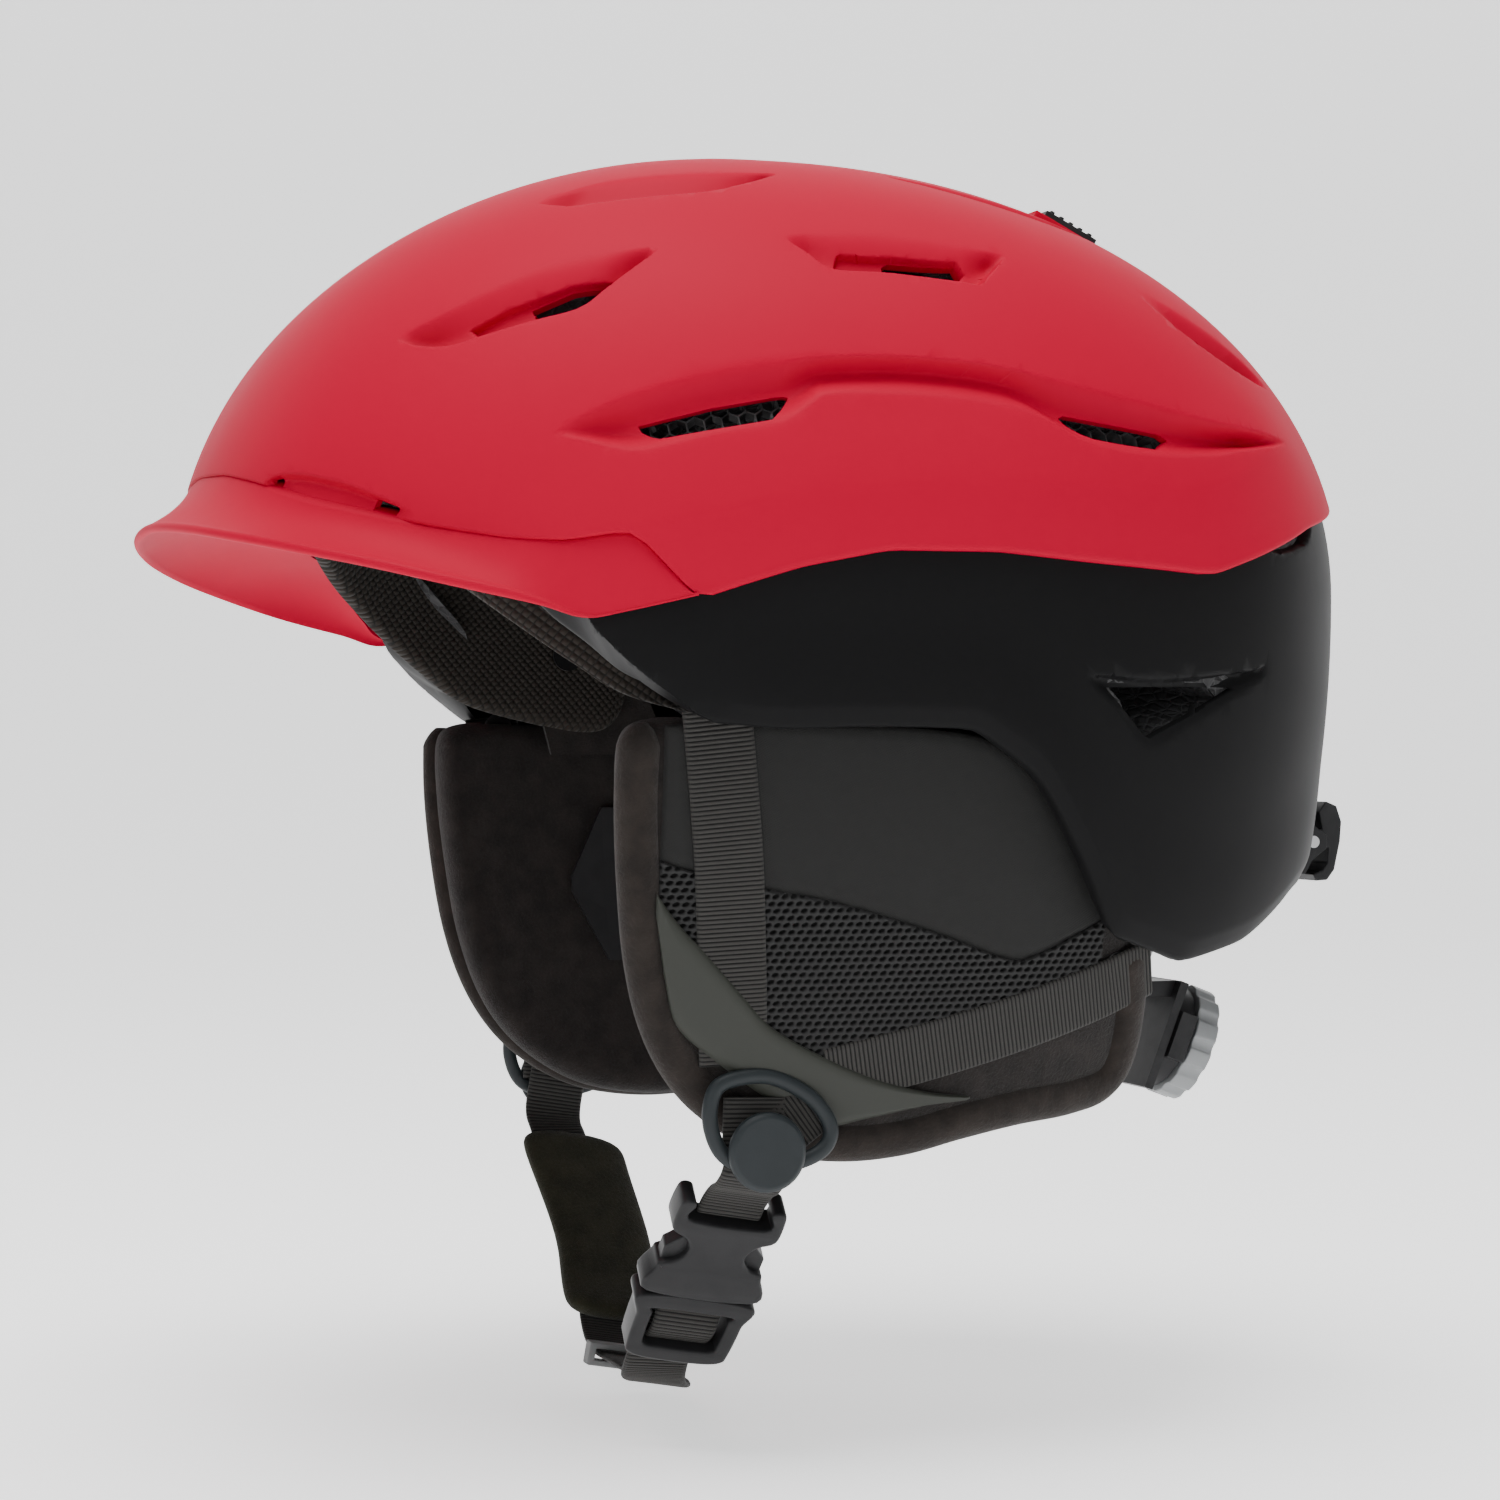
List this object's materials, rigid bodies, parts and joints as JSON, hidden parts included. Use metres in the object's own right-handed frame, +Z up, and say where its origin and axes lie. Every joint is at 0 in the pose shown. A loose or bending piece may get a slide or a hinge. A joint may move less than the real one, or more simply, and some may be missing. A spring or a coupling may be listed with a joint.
{
  "type": "ski helmet",
  "caption": "Two-piece ski helmet with brim, sliding roof vents, ear pads, dial fit cradle, chin strap with side-release buckle and rear goggle clip.",
  "frame": {"origin": "centre of the head opening at headband level, where the wearer's head sits", "axes": "+Z up through the crown, -Y towards the brow, +X towards the wearer's left"},
  "size_m": [0.2256, 0.3062, 0.2949],
  "materials": {
    "red_shell": "matte moulded skin",
    "black_shell": "matte moulded skin",
    "foam": "beaded foam",
    "black_plastic": "satin moulded",
    "red_plastic": "satin moulded",
    "mesh_fabric": "knitted mesh",
    "fleece": "brushed fleece",
    "rubber_plate": "matte",
    "keeper_film": "smooth coated fabric",
    "webbing": "ribbed webbing",
    "ring_plastic": "satin moulded",
    "steel": "turned",
    "dial_grey": "translucent satin",
    "keeper_rubber": "matte"
  },
  "bodies": {
    "helmet": {"upper_shell": "red_shell", "lower_shell": "black_shell", "brim": "red_shell", "eps_liner": "foam", "grille_front_left": "black_plastic", "grille_front_right": "black_plastic", "grille_rear_left": "black_plastic", "grille_rear_right": "black_plastic", "slider_track": "red_shell", "brow_pad": "mesh_fabric", "crown_pad": "mesh_fabric", "side_pad_left": "mesh_fabric", "side_pad_right": "mesh_fabric", "ear_pad_left": "fleece", "ear_pad_right": "fleece", "ear_plate_left": "rubber_plate", "ear_plate_right": "rubber_plate", "ear_tab_left": "black_plastic", "ear_tab_right": "black_plastic", "keeper_band_left": "keeper_film", "keeper_band_right": "keeper_film", "front_strap_left": "webbing", "front_strap_right": "webbing", "rear_strap_left": "webbing", "rear_strap_right": "webbing", "strap_anchors": "steel", "strap_divider_left": "ring_plastic", "strap_divider_right": "ring_plastic", "temple_pins": "steel", "goggle_clip_base": "black_plastic", "goggle_clip_pin": "steel"},
    "vent_slider": {"vent_slider": "black_plastic"},
    "vent_shutters": {"vent_shutter_left": "red_plastic", "vent_shutter_right": "red_plastic"},
    "fit_cradle": {"cradle_band": "black_plastic", "dial_housing": "black_plastic", "nape_pad": "mesh_fabric"},
    "fit_dial": {"dial_spool": "black_plastic", "dial_knob": "dial_grey"},
    "goggle_clip": {"goggle_clip": "black_plastic"},
    "chin_strap": {"strap_cap_left": "ring_plastic", "strap_cap_right": "ring_plastic", "chin_strap_left": "webbing", "chin_strap_right": "webbing", "buckle_socket": "black_plastic", "chin_strap_middle": "webbing", "chin_pad": "fleece"},
    "buckle_plug": {"buckle_plug": "black_plastic"},
    "buckle_prong_front": {"buckle_prong_front": "black_plastic"},
    "buckle_prong_rear": {"buckle_prong_rear": "black_plastic"},
    "strap_keeper": {"strap_keeper": "keeper_rubber"}
  },
  "joints": [
    {"name": "vent_slide", "type": "slide", "parent": "helmet", "child": "vent_slider", "axis": [0, 0.891, -0.454], "range_m": [0, 0.012]},
    {"name": "shutter_turn", "type": "hinge", "parent": "helmet", "child": "vent_shutters", "pos_m": [0, 0, -0.08], "axis": [-1, 0, 0], "range_deg": [0, 4.5]},
    {"name": "cradle_tilt", "type": "hinge", "parent": "helmet", "child": "fit_cradle", "pos_m": [0, -0.02, -0.012], "axis": [1, 0, 0], "range_deg": [-4, 3]},
    {"name": "dial_turn", "type": "hinge", "parent": "fit_cradle", "child": "fit_dial", "pos_m": [0, 0.111, -0.1075], "axis": [0, 0.9336, -0.3584], "continuous": true},
    {"name": "goggle_clip_swing", "type": "hinge", "parent": "helmet", "child": "goggle_clip", "pos_m": [0, 0.1495, -0.06], "axis": [1, 0, 0], "range_deg": [0, 42], "stiffness_Nm_per_rad": 0.02, "springref_deg": -5.73},
    {"name": "chin_strap_swing", "type": "hinge", "parent": "helmet", "child": "chin_strap", "pos_m": [0, -0.021, -0.124], "axis": [-1, 0, 0], "range_deg": [-12, 60]},
    {"name": "buckle_release", "type": "slide", "parent": "chin_strap", "child": "buckle_plug", "axis": [-0.5736, -0.1422, -0.8067], "range_m": [0, 0.024], "deforming": ["buckle_prong_front", "buckle_prong_rear"]},
    {"name": "prong_front_squeeze", "type": "slide", "parent": "buckle_plug", "child": "buckle_prong_front", "axis": [0, 0.9848, -0.1736], "range_m": [0, 0.0025], "stiffness_N_per_m": 400},
    {"name": "prong_rear_squeeze", "type": "slide", "parent": "buckle_plug", "child": "buckle_prong_rear", "axis": [0, -0.9848, 0.1736], "range_m": [0, 0.0025], "stiffness_N_per_m": 400},
    {"name": "keeper_slide", "type": "slide", "parent": "chin_strap", "child": "strap_keeper", "axis": [1, 0, 0], "range_m": [0, 0.022]}
  ],
  "couplings": [
    {"joint": "shutter_turn", "follows": "vent_slide", "rad_per_m": 6.2541}
  ]
}
